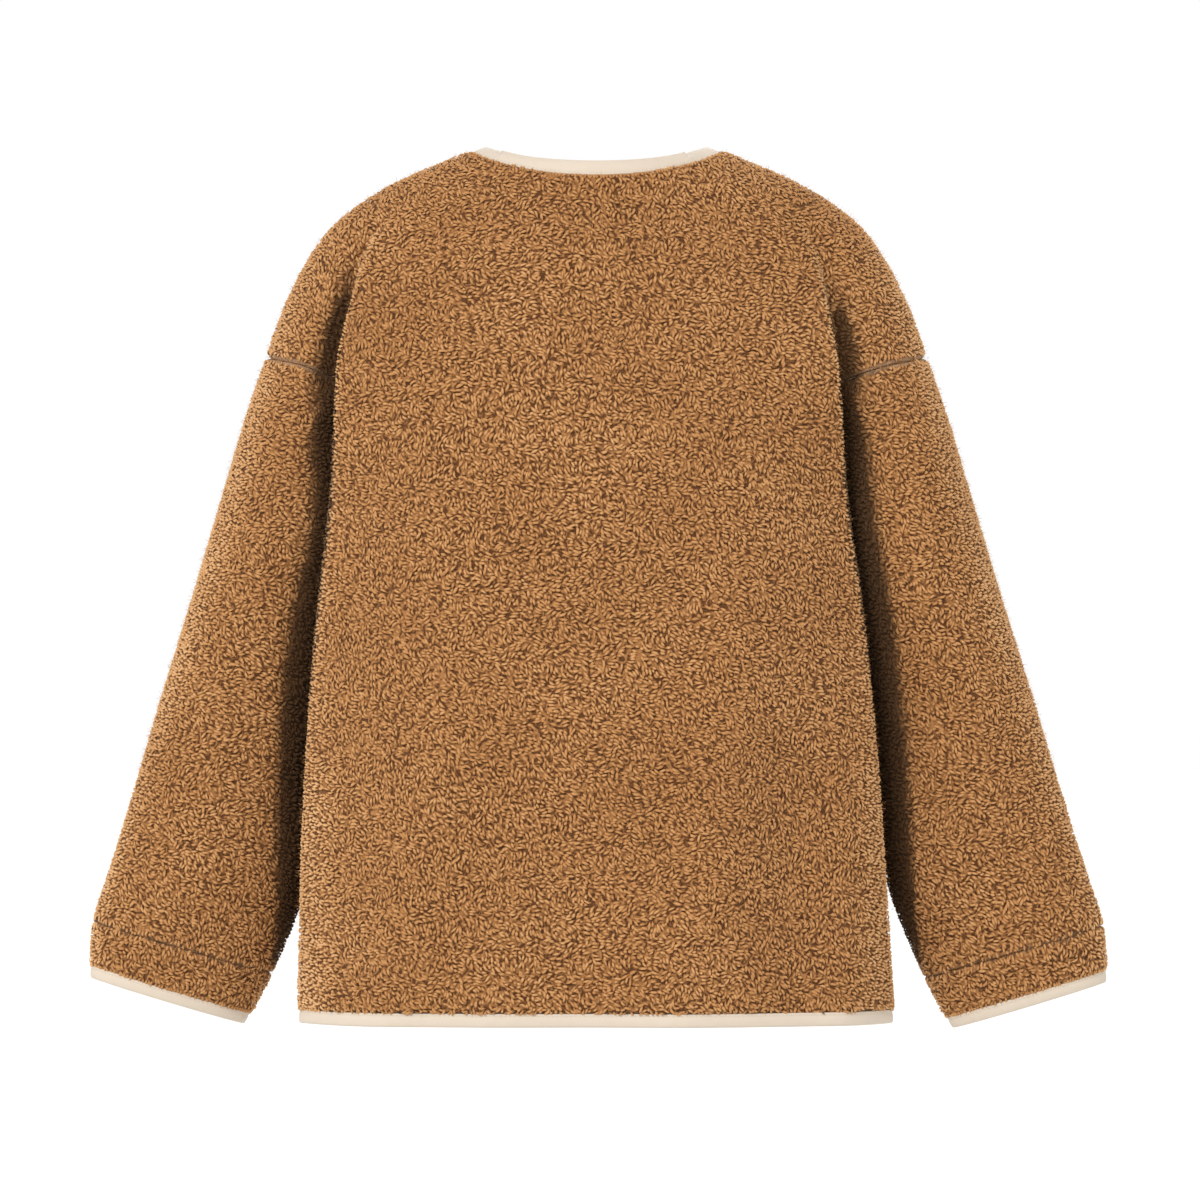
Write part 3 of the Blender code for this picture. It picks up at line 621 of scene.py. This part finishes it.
def add_ridges(name, points, heights, material, crevice_shade=None, side_highlight=0.0):
    """One piece of many ridges, each with its own tint and its height along it, which sets its painted light
    and shade.

    A ridge may also be darkened by painted shade where it lies in a fold or against the next part, and carry
    a painted highlight added to its tint.
    """
    pattern = ridge_pattern()
    count, size = heights.shape
    faces = (pattern[None] + (np.arange(count) * size)[:, None, None]).reshape(-1, 3)
    piece = add_object(name, points.reshape(-1, 3), faces)
    add_layer(piece, "lock_tint_and_highlight", np.repeat(rng.random(count) + side_highlight, size))
    add_layer(piece, "lock_height_shade", heights)
    if crevice_shade is not None:
        add_layer(piece, "crevice_shade", np.repeat(crevice_shade, size))
    piece.data.materials.append(material)
    return piece


def turning(facing):
    """How far the cloth has turned away to a side, from 0 to 1."""
    return smoothstep((np.abs(facing[:, 0]) - TURN_START) / TURN_REACH)


def lay_of(place, facing, edges):
    """The way the pile lies: swirling over the cloth and combed towards its edges."""
    level = unit(np.cross(facing, np.array((0.0, 0.0, 1.0))) + 1e-6)
    rising = np.cross(level, facing)
    swirl = lay_noise(place, CLUMP_SIZE, 1) + DRIFT_SHARE * lay_noise(place, LAY_DRIFT, 2)
    angle = LAY_ANGLE + LAY_SWIRL * swirl
    angle *= 1 - TURN_COMB * turning(facing)
    along = level * np.cos(angle)[:, None] + rising * np.sin(angle)[:, None]
    away, distance = edges
    combed = unit(away - facing * (away * facing).sum(axis=1, keepdims=True))
    side = np.sign((combed * along).sum(axis=1, keepdims=True) + 1e-9)
    share = 1 - smoothstep(distance / COMB_REACH)[:, None]
    return unit(along * (1 - share) + combed * side * share * COMB_STRENGTH)


def nearest_edge(trees, place):
    """The way to the nearest of the edges in several trees, and its distance."""
    spots = [min((tree.find(point) for tree in trees), key=lambda found: found[2]) for point in place]
    away = np.array([found[0] for found in spots]) - place
    return away, np.array([found[2] for found in spots])


def grow_locks(place, facing, length, edges):
    """Points and heights of the locks at places on the pile's level."""
    count = len(place)
    grown = smoothstep(edges[1] / EDGE_REACH)
    loose = rng.normal(scale=LAY_LOOSE, size=count)
    turned = np.cos(loose)[:, None], np.sin(loose)[:, None]
    stride = (length / LOCK_STEPS)[:, None]
    halves = []
    for way in (-1, 1):
        spot = place
        spots = []
        for _ in range(LOCK_STEPS):
            flow = lay_of(spot, facing, edges)
            flow = flow * turned[0] + np.cross(facing, flow) * turned[1]
            spot = spot + way * flow * stride / 2
            spots.append(spot)
        halves.append(spots)
    spine = np.stack(halves[0][::-1] + [place] + halves[1], axis=1)[:, ::2]
    width = rng.uniform(*LOCK_WIDTH, count)
    clump = lay_noise(place, CLUMP_SIZE, 3)
    # A third of the rise is every lock's, and the rest its own and its clump's.  By an edge it is half.
    rise = LOCK_RISE * (0.35 + 0.5 * rng.random(count) + 0.3 * clump) * (0.5 + 0.5 * grown)
    depth = EDGE_DEPTH + (PILE_DEPTH - EDGE_DEPTH) * (0.3 + 0.7 * grown)
    return ridges(spine, facing, width, depth, rise)


def add_hairs(name, place, facing, crevice_shade, material):
    """Single loose fibres that stand out of the pile, each two thin faces."""
    count = len(place)
    lean = unit(facing * HAIR_STAND + rng.normal(scale=HAIR_SCATTER, size=(count, 3)))
    across = unit(np.cross(lean, facing) + 1e-9)
    length = rng.uniform(*HAIR_LENGTH, count)[:, None]
    bow = rng.normal(scale=HAIR_BOW, size=(count, 1)) * length
    middle = place + lean * length * 0.5 + across * bow
    points = np.stack((place, middle - across * HAIR_WIDTH / 2, middle + across * HAIR_WIDTH / 2,
                       place + lean * length), axis=1)
    faces = (np.array(((0, 2, 1), (1, 2, 3)))[None] + (np.arange(count) * 4)[:, None, None]).reshape(-1, 3)
    hairs = add_object(name + "_hairs", points.reshape(-1, 3), faces)
    # each fibre takes the colour of a lock's lightest back, a painted highlight, with painted shade in folds
    add_layer(hairs, "lock_height_shade", np.ones(4 * count))
    add_layer(hairs, "crevice_shade", np.repeat(crevice_shade, 4))
    hairs.data.materials.append(material)
    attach(hairs, ROOT)
    return hairs


# --- Bindings -----------------------------------------------------------------------------------------
def ring_order(ring):
    """A section's corners in order round it.  Edges across a strip's flat end are left out."""
    links = {vert: [] for vert in ring}
    for vert in ring:
        for edge in vert.link_edges:
            other = edge.other_vert(vert)
            across_end = all(set(face.verts) <= ring for face in edge.link_faces)
            if other in links and not across_end:
                links[vert].append(other)
    order = [next(iter(ring))]
    while len(order) < len(ring):
        order.append(next(other for other in links[order[-1]] if other not in order))
    return order


def walk(start, behind):
    """The sections of a strip one after another, as sets of corners, from the first one."""
    rings = [start]
    seen = start | behind
    while rings[-1]:
        beside = {edge.other_vert(vert) for vert in rings[-1] for edge in vert.link_edges}
        rings.append(beside - seen)
        seen |= beside
    return rings[:-1] + ([behind] if behind else [])


def first_sections(solid, name):
    """Where the walk along a strip may start: (first section, the one behind it if the strip is closed)."""
    verts = sorted(solid.verts, key=lambda vert: tuple(vert.co))
    if "cuff" in name:
        middle = sum((vert.co for vert in verts), Vector()) / len(verts)
        first = verts[0]
        ahead = Vector((0, 0, 1)).cross(first.co - middle).normalized()
        near = [vert for vert in verts if (vert.co - first.co).length < SECTION_REACH]
        near.sort(key=lambda vert: abs((vert.co - first.co).dot(ahead)))
        start = set(near[:SECTION_CORNERS])
        beside = {edge.other_vert(vert) for vert in start for edge in vert.link_edges} - start
        yield start, {vert for vert in beside if (vert.co - first.co).dot(ahead) < 0}
    elif "front" in name:
        for group in (verts, verts[::-1]):
            for face in {face for vert in group for face in vert.link_faces}:
                around = {vert for edge in face.edges for other in edge.link_faces for vert in other.verts}
                if len(around) == SECTION_CORNERS:
                    yield around, set()
    else:
        front = [vert for vert in verts if vert.co.x > 0 and vert.co.y < 0]
        yield set(sorted(front, key=lambda vert: vert.co.x)[:SECTION_CORNERS]), set()


def sections_of(name):
    """A binding's sections from its solid, in order: an array of section, corner and place."""
    solid = merged(name)
    for start, behind in first_sections(solid, name):
        rings = walk(start, behind)
        if all(len(ring) == SECTION_CORNERS for ring in rings):
            break
    ordered = []
    for ring in rings:
        corners = np.array([vert.co for vert in ring_order(ring)])
        if ordered:
            shift = corners.mean(axis=0) - ordered[-1].mean(axis=0)
            ways = [np.roll(way, turn, axis=0) for way in (corners, corners[::-1])
                    for turn in range(SECTION_CORNERS)]
            corners = min(ways, key=lambda way: np.abs(way - shift - ordered[-1]).sum())
        ordered.append(corners)
    solid.free()
    return np.array(ordered), bool(behind)


def in_order(sections, normals_tree, normals):
    """Sections with their corners from the outer one beside the pile, over the fold, to the inner one."""
    lengths = np.linalg.norm(np.roll(sections, -1, axis=1) - sections, axis=2).mean(axis=0)
    beside = max(range(SECTION_CORNERS),
                 key=lambda side: min(lengths[side - 1], lengths[(side + 1) % SECTION_CORNERS]))
    first, second = sections[:, beside], sections[:, (beside + 1) % SECTION_CORNERS]
    outwards = np.array([normals[normals_tree.find(point)[1]] for point in first])
    if ((second - first) * outwards).sum() > 0:
        return np.roll(sections, -(beside + 1), axis=1)
    return np.roll(sections[:, ::-1], beside + 1, axis=1)


def evenly(rows, closed, spacing):
    """Rows of numbers, the first three a place, joined by a smooth curve and taken evenly along it."""
    if closed:
        rows = np.vstack((rows[-2:], rows, rows[:3]))
    gaps = np.linalg.norm(np.diff(rows[:, :3], axis=0), axis=1)
    knots = np.concatenate(([0.0], np.cumsum(gaps)))
    slopes = np.diff(rows, axis=0) / gaps[:, None]
    before, after = gaps[:-1, None], gaps[1:, None]
    inner = (slopes[:-1] * after + slopes[1:] * before) / (before + after)
    slopes = np.vstack((slopes[:1], inner, slopes[-1:]))
    start, end = (knots[2], knots[-3]) if closed else (knots[0], knots[-1])
    count = round((end - start) / spacing)
    wanted = np.linspace(start, end, count + 1)[:count if closed else None]
    span = np.clip(np.searchsorted(knots, wanted, side="right") - 1, 0, len(gaps) - 1)
    gap = gaps[span][:, None]
    t = (wanted - knots[span])[:, None] / gap
    values = ((2 * t ** 3 - 3 * t ** 2 + 1) * rows[span] + (t ** 3 - 2 * t ** 2 + t) * gap * slopes[span]
              + (3 * t ** 2 - 2 * t ** 3) * rows[span + 1] + (t ** 3 - t ** 2) * gap * slopes[span + 1])
    return values, wanted - start


def tape_section(width, thickness):
    """Outline of the folded tape, as distances from the pile and depths, outer leaf first."""
    outer = ((-0.6, 1.2), (0.1, 0.3), (0.85, -0.15), (1.9, 0.35), (3.0, 0.0), (width / 2, -0.15),
             (width - 1.6, 0.1), (width - 0.5, 0.8), (width, 1.9))
    inner_leaf = [(max(away, 0.05), thickness - depth) for away, depth in reversed(outer)]
    hollow = ((0.5, thickness - 0.45 - TAPE / MM), (width - 1.7, thickness - TAPE / MM - 0.1),
              (width - TAPE / MM, thickness / 2), (width - 1.7, TAPE / MM + 0.1), (0.5, 0.45 + TAPE / MM))
    return np.array([*outer, *inner_leaf, *hollow]) * MM, len(outer) + len(inner_leaf)


def add_binding(name, sections, closed, tape, thread):
    """A binding: the folded tape and its two rows of stitches."""
    near, far, low = sections[:, 0], sections[:, 2], sections[:, 5]
    out = unit(sections[:, 1] - near)
    width = float(((far - near) * out).sum(axis=1).mean()) / MM
    thickness = float(np.linalg.norm(low - near, axis=1).mean()) / MM
    deep = unit(low - near)
    rows, along = evenly(np.hstack((near, out, deep)), closed, RAIL_SPACING)
    near, out, deep = rows[:, :3], unit(rows[:, 3:6]), unit(rows[:, 6:])
    section, shown = tape_section(width, thickness)
    size = len(section)
    points = near[:, None] + section[:, 0][:, None] * out[:, None] + section[:, 1][:, None] * deep[:, None]
    stations = len(near)
    faces = []
    for station in range(stations if closed else stations - 1):
        following = (station + 1) % stations
        for corner in range(size):
            turn = (corner + 1) % size
            faces.append((station * size + corner, following * size + corner,
                          following * size + turn, station * size + turn))
    if not closed:
        faces.append(tuple(range(size)))
        faces.append(tuple((stations - 1) * size + corner for corner in range(size))[::-1])
    piece = add_object(name + "_tape", points.reshape(-1, 3), faces)
    outwards(piece)
    path = np.concatenate(([0.0], np.cumsum(np.linalg.norm(np.diff(section, axis=0), axis=1))))
    uv = piece.data.uv_layers.new(name="tape")
    numbers = np.empty(len(piece.data.loops), dtype=np.int32)
    piece.data.loops.foreach_get("vertex_index", numbers)
    spots = np.stack((path[numbers % size], along[numbers // size]), axis=1)
    uv.data.foreach_set("uv", spots.astype(np.float32).ravel())
    piece.data.materials.append(tape)
    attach(piece, ROOT)
    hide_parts(name)
    stitches = add_stitches(name, near, out, deep, closed, thickness * MM, thread)
    return piece


def add_stitches(name, near, out, deep, closed, thickness, thread):
    """The stitches through a binding, on both of its leaves."""
    line = near + out * STITCH_INSET
    rows, _ = evenly(np.hstack((line, out, deep)), closed, STITCH_PITCH)
    if not closed:
        rows = rows[1:-1]
    spot, out, deep = rows[:, :3], unit(rows[:, 3:6]), unit(rows[:, 6:])
    ahead = unit(np.roll(spot, -1, axis=0) - np.roll(spot, 1, axis=0))
    if not closed:
        ahead[[0, -1]] = ahead[[1, -2]]
    count = len(spot)
    spots = np.vstack((spot + deep * STITCH_SUNK, spot + deep * (thickness - STITCH_SUNK)))
    facing = np.vstack((-deep, deep))
    alongs = np.vstack((ahead, ahead))
    alongs = unit(alongs - facing * (alongs * facing).sum(axis=1, keepdims=True))
    many = np.ones(2 * count)
    shares = (np.arange(LOCK_STEPS + 1) / LOCK_STEPS - 0.5)[None, :, None]
    spine = spots[:, None] + alongs[:, None] * shares * STITCH_LENGTH
    points, heights = ridges(spine, facing, many * STITCH_WIDTH, many * STITCH_SUNK, many * STITCH_SUNK)
    stitches = add_ridges(name + "_stitches", points, heights, thread)
    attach(stitches, ROOT)
    return stitches


def outwards(piece):
    """Turns all the faces of a closed piece outwards."""
    work = bmesh.new()
    work.from_mesh(piece.data)
    bmesh.ops.recalc_face_normals(work, faces=work.faces)
    work.to_mesh(piece.data)
    work.free()


# --- Dressing the solids ------------------------------------------------------------------------------
def dress_panels():
    """The walls of the seven fleece panels, before their pile is grown.

    Returns them with the surface of each one's tips (points, triangles and normals), the points used on it,
    a search tree of the sleeves' seams, and all the tips' points and normals together.
    """
    trees = {}
    for name in PANELS + BINDINGS:
        solid = merged(name)
        trees[name] = BVHTree.FromBMesh(solid)
        solid.free()
    walls = {name: panel_wall(name, trees) for name in PANELS}
    grooves = []
    surfaces = {}
    for name, wall in walls.items():
        points = places(wall.data)
        triangles = faces_on(wall.data, PILE_SIDE)
        if name == "back":
            points = folded(points, point_normals(points, triangles))
        surfaces[name] = (points, triangles, point_normals(points, triangles))
        if "sleeve" in name:
            grooves.append(rim_points(points, triangles))
    groove_tree = tree_of(np.concatenate(grooves))
    used = {name: np.unique(surface[1]) for name, surface in surfaces.items()}
    level = np.concatenate([surfaces[name][0][used[name]] for name in PANELS])
    normals = np.concatenate([surfaces[name][2][used[name]] for name in PANELS])
    return walls, surfaces, used, groove_tree, level, normals


def garment_tree():
    """A search tree over all the solids together."""
    points, faces = [], []
    for name in PANELS + BINDINGS:
        solid = merged(name)
        solid.verts.ensure_lookup_table()
        faces += [[vert.index + len(points) for vert in face.verts] for face in solid.faces]
        points += [vert.co.copy() for vert in solid.verts]
        solid.free()
    return BVHTree.FromPolygons(points, faces)


def dress_panel(name, wall, surface, used, groove_tree, edge_tree, garment, materials):
    """One panel: its wall sunk below the tips of the pile, and the locks that stand on it.

    The locks next to a binding are slid into one row of tufts beside it, and find room first.
    """
    points, triangles, normals = surface
    groove = distances(groove_tree, points[used])
    edge = np.minimum(groove, distances(edge_tree, points[used]))
    depth = EDGE_DEPTH + (PILE_DEPTH - EDGE_DEPTH) * smoothstep(edge / EDGE_REACH)
    sunk = points.copy()
    sunk[used] -= normals[used] * depth[:, None]
    wall.data.vertices.foreach_set("co", sunk.ravel())
    shown = np.zeros(len(points))
    shown[used] = 1 - smoothstep((groove - GROOVE_HALF) / GROOVE_FADE)
    shown[used] *= np.where(points[used, 2] < CUFFS_BELOW, CUFF_PALE, ARMHOLE_PALE)
    add_layer(wall, "groove", shown)
    # painted shade on the ground between the locks, darker in folds and against the next part
    crevice_shade = np.zeros(len(points))
    crevice_shade[used] = crevices(garment, points[used], normals[used])
    add_layer(wall, "crevice_shade", crevice_shade)
    wall.data.update()
    wall.name = name + "_cloth"
    for material in materials["ground"], materials["knit"], materials["knit"]:
        wall.data.materials.append(material)
    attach(wall, ROOT)
    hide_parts(name)
    tries = int(area_of(points, triangles) * LOCK_TRIES / LOCK_CELL)
    place, facing = scatter(points, triangles, normals, tries)
    length = rng.uniform(*LOCK_LENGTH, len(place))
    away, binding = nearest_edge((edge_tree,), place)
    fringe = binding < FRINGE_REACH
    over = unit(away - facing * (away * facing).sum(axis=1, keepdims=True))
    place = place + over * np.where(fringe, binding - FRINGE_PLACE, 0)[:, None]
    length = np.where(fringe, rng.uniform(*FRINGE_LENGTH, len(place)), length)
    order = np.argsort(~fringe, kind="stable")
    place, facing, length = place[order], facing[order], length[order]
    edges = nearest_edge((groove_tree, edge_tree), place)
    kept = with_room(place, lay_of(place, facing, edges), length * LOCK_FOLLOW, LOCK_APART)
    groove = distances(groove_tree, place[kept])
    kept = kept[groove > np.where(place[kept, 2] < CUFFS_BELOW, CUFF_CLEAR, GROOVE_CLEAR)]
    place, facing = place[kept], facing[kept]
    locks, heights = grow_locks(place, facing, length[kept], (edges[0][kept], edges[1][kept]))
    # painted shade on the locks, darker in folds and against the next part
    crevice_shade = crevices(garment, place, facing)
    halves = [("", np.ones(len(place), dtype=bool))]
    if len(place) > LOCKS_A_PIECE:
        halves = [("_left", place[:, 0] >= 0), ("_right", place[:, 0] < 0)]
    piles = []
    for ending, chosen in halves:
        # the locks where the cloth turns to a side get a painted highlight in their tint
        pile = add_ridges(name + "_pile" + ending, locks[chosen], heights[chosen], materials["lock"],
                          crevice_shade[chosen], TURN_HIGHLIGHT * turning(facing[chosen]))
        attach(pile, ROOT)
        piles.append(pile)
    place, facing = scatter(points, triangles, normals, int(area_of(points, triangles) / HAIR_SPACING ** 2))
    # the loose fibres get painted shade in folds and against the next part
    piles.append(add_hairs(name, place, facing, crevices(garment, place, facing), materials["lock"]))
    return piles


def set_stage():
    """A plain pale floor under soft studio light: a key from above the camera, and one from each side.

    The camera sees the world as white paper, and the garment gets less light from it.
    """
    bpy.ops.mesh.primitive_plane_add(size=FLOOR_SIZE, location=(0, 0, FLOOR_Z))
    floor = bpy.context.object
    floor.name = "floor"
    material, shader = new_material("pale_floor", 0.9)
    shader.inputs["Base Color"].default_value = linear("#f7f7f5")
    floor.data.materials.append(material)
    world = bpy.data.worlds.new("studio")
    world.use_nodes = True
    background = world.node_tree.nodes["Background"]
    background.inputs["Color"].default_value = (1, 1, 1, 1)
    path = world.node_tree.nodes.new("ShaderNodeLightPath")
    strength = world.node_tree.nodes.new("ShaderNodeMath")
    strength.operation = "MULTIPLY_ADD"
    strength.inputs[1].default_value = 1 - AMBIENT
    strength.inputs[2].default_value = AMBIENT
    world.node_tree.links.new(path.outputs["Is Camera Ray"], strength.inputs[0])
    world.node_tree.links.new(strength.outputs[0], background.inputs["Strength"])
    bpy.context.scene.world = world
    bpy.context.scene.view_settings.view_transform = "Standard"
    for name, energy, angle, way in LAMPS:
        lamp = bpy.data.lights.new(name, "SUN")
        lamp.energy = energy
        lamp.angle = math.radians(angle)
        holder = bpy.data.objects.new(name, lamp)
        holder.rotation_mode = "QUATERNION"
        holder.rotation_quaternion = Vector(way).to_track_quat("Z", "Y")
        bpy.context.scene.collection.objects.link(holder)


def set_camera():
    """The picture's view, from straight behind the garment through a long lens."""
    camera = bpy.data.cameras.new("camera")
    camera.lens = LENS
    camera.sensor_width = SENSOR
    holder = bpy.data.objects.new("camera", camera)
    away = PICTURE_PIXELS * PIXEL * LENS / SENSOR
    holder.location = (MIDDLE_X, away, MIDDLE_Z)
    holder.rotation_euler = (math.radians(90), 0, math.radians(180))
    camera.clip_end = 100
    bpy.context.scene.collection.objects.link(holder)
    bpy.context.scene.camera = holder


def main():
    """Dresses the solids and sets the picture."""
    set_camera()
    materials = {"lock": lock_material(), "ground": ground_material(), "knit": knit_material()}
    tape, thread = tape_material(), thread_material()
    walls, surfaces, used, groove_tree, level, normals = dress_panels()
    level_tree = tree_of(level)
    garment = garment_tree()
    strips = {}
    for name in BINDINGS:
        sections, closed = sections_of(name)
        strips[name] = (in_order(sections, level_tree, normals), closed)
    lines = [evenly(sections[:, 0], closed, MM)[0] for sections, closed in strips.values()]
    edge_tree = tree_of(np.concatenate(lines))
    for name in PANELS:
        piles = dress_panel(name, walls[name], surfaces[name], used[name], groove_tree, edge_tree, garment,
                            materials)
        flat, area, held = CUTS[name]
    for name, (sections, closed) in strips.items():
        add_binding(name, sections, closed, tape, thread)
    set_stage()


main()
